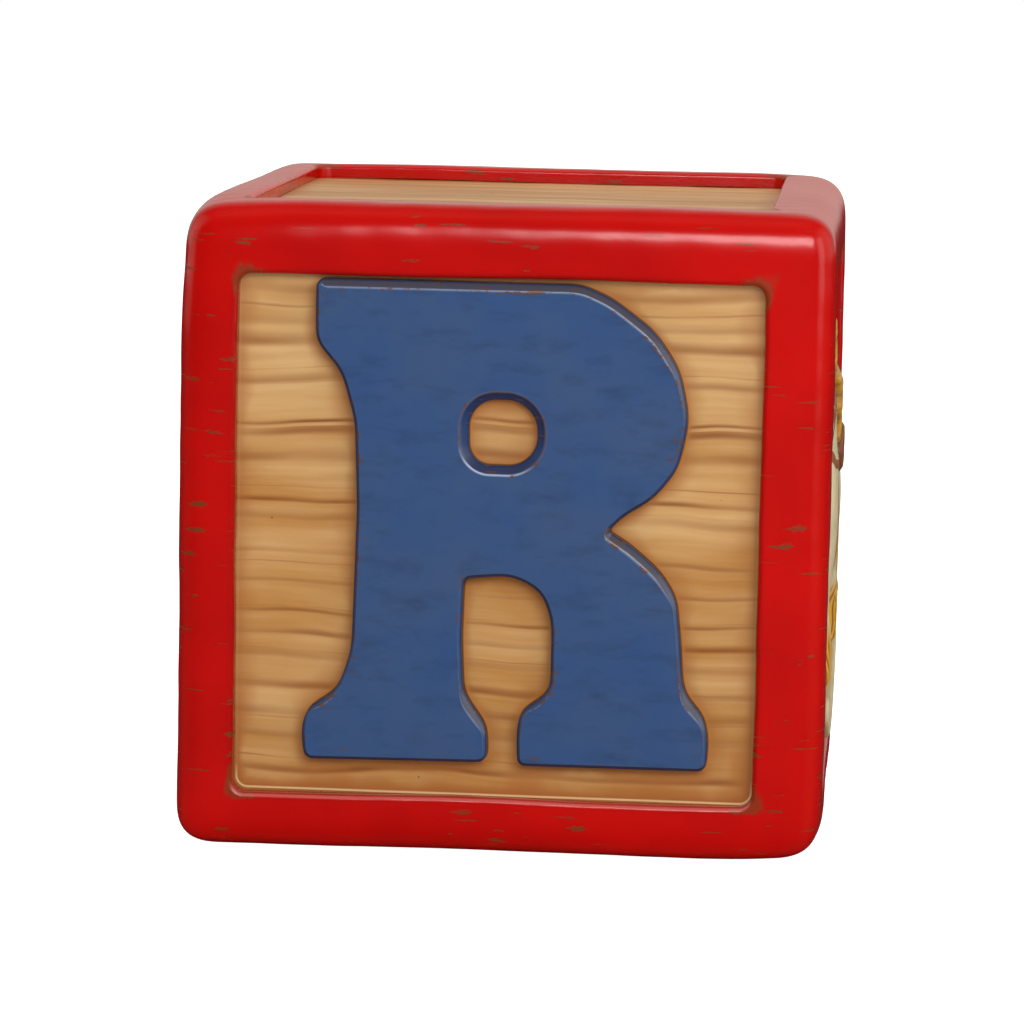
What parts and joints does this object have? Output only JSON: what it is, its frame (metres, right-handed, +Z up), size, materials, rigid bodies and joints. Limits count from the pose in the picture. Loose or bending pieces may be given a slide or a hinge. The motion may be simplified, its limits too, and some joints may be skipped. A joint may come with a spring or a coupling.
{
  "type": "letter block",
  "caption": "Hollow display letter block: rounded mitred frame, recessed panels with a raised letter or rocking horse, and a screwed-in base board.",
  "frame": {"origin": "middle of the underside, on the plane that the block stands on", "axes": "+Z up, -Y out of the face with the letter, +X out of the face to the reader's right of it"},
  "size_m": [0.612, 0.602, 0.6],
  "materials": {
    "frame": "red satin enamel, rubbed through at the edges",
    "letter": "blue satin enamel with brown worn edges",
    "panel": "varnished pine",
    "corner_block": "bare beech",
    "base_board": "bare plywood",
    "coat": "cream satin enamel",
    "hair": "golden satin enamel",
    "saddle": "brown satin enamel",
    "screw": "zinc plated"
  },
  "bodies": {
    "root": {"base_board": "base_board", "base_screw_back_left": "screw", "base_screw_back_right": "screw", "base_screw_front_left": "screw", "base_screw_front_right": "screw", "corner_block_bottom_back_left": "corner_block", "corner_block_bottom_back_right": "corner_block", "corner_block_bottom_front_left": "corner_block", "corner_block_bottom_front_right": "corner_block", "corner_block_top_back_left": "corner_block", "corner_block_top_back_right": "corner_block", "corner_block_top_front_left": "corner_block", "corner_block_top_front_right": "corner_block", "horse_body_left": "coat", "horse_body_right": "coat", "horse_mane_left": "hair", "horse_mane_right": "hair", "horse_rocker_left": "coat", "horse_rocker_right": "coat", "horse_saddle_left": "saddle", "horse_saddle_right": "saddle", "horse_tail_left": "hair", "horse_tail_right": "hair", "letter_back": "letter", "letter_front": "letter", "panel_back": "panel", "panel_front": "panel", "panel_left": "panel", "panel_right": "panel", "panel_top": "panel", "post_back_left": "frame", "post_back_right": "frame", "post_front_left": "frame", "post_front_right": "frame", "rail_bottom_back": "frame", "rail_bottom_front": "frame", "rail_bottom_left": "frame", "rail_bottom_right": "frame", "rail_top_back": "frame", "rail_top_front": "frame", "rail_top_left": "frame", "rail_top_right": "frame"}
  },
  "joints": []
}
